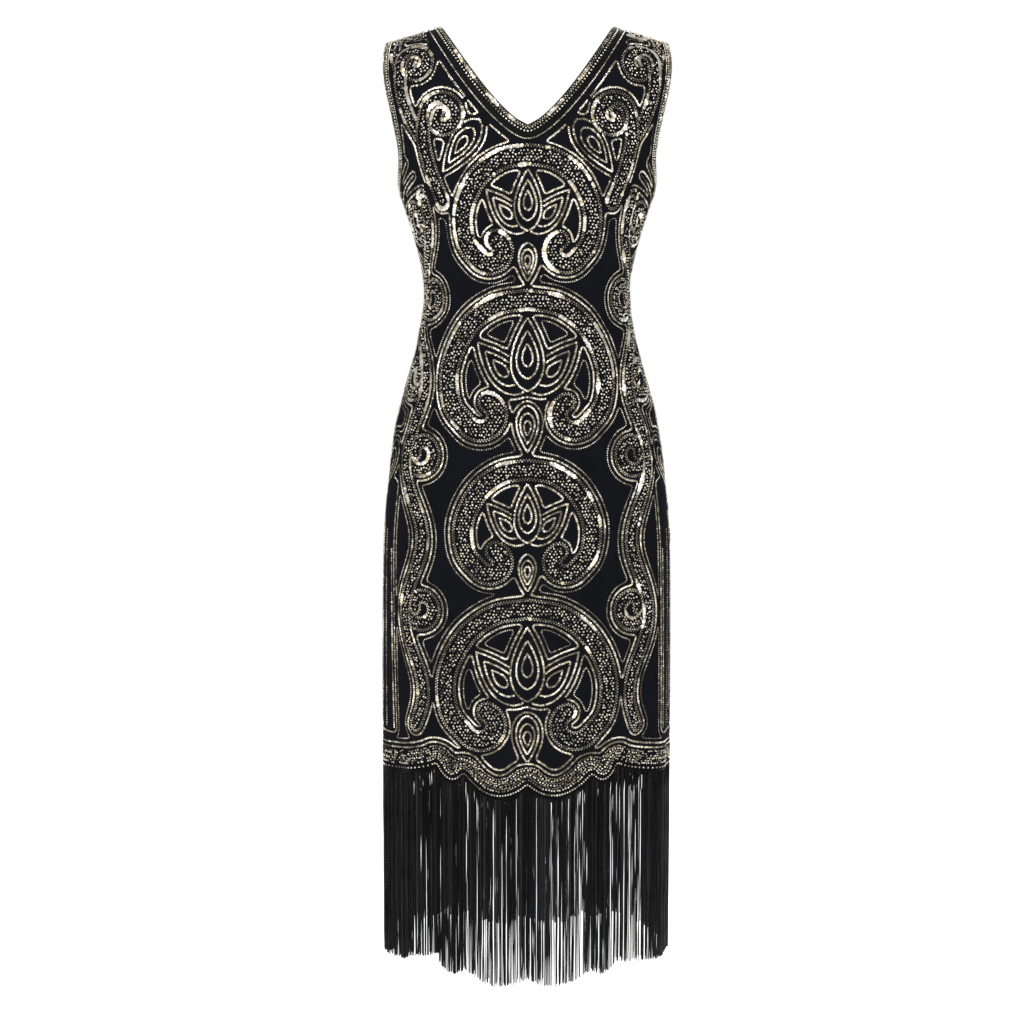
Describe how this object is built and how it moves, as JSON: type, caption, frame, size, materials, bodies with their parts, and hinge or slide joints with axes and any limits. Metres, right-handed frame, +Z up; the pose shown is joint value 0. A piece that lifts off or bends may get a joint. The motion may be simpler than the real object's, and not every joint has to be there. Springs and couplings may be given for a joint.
{
  "type": "flapper dress",
  "caption": "Sleeveless beaded flapper dress, filled out as worn: V neck front and back, close body, scalloped hem and a long fringe.",
  "frame": {"origin": "midway between the two shoulder seams, where the wearer's shoulders carry the dress", "axes": "+Z up, -Y the front of the dress, +X the wearer's left"},
  "size_m": [0.3501, 0.2534, 1.1171],
  "materials": {
    "black_net": "matt lined stretch net",
    "silver_beading": "champagne-silver glass beads and sequins",
    "black_fringe": "twisted rayon cord with a low sheen"
  },
  "bodies": {
    "root": {"front_panel": "black_net", "back_panel": "black_net", "front_neck_band": "silver_beading", "back_neck_band": "silver_beading", "left_armhole_band": "silver_beading", "right_armhole_band": "silver_beading", "front_hem_band": "silver_beading", "back_hem_band": "silver_beading", "front_fringe": "black_fringe", "back_fringe": "black_fringe"}
  },
  "joints": []
}
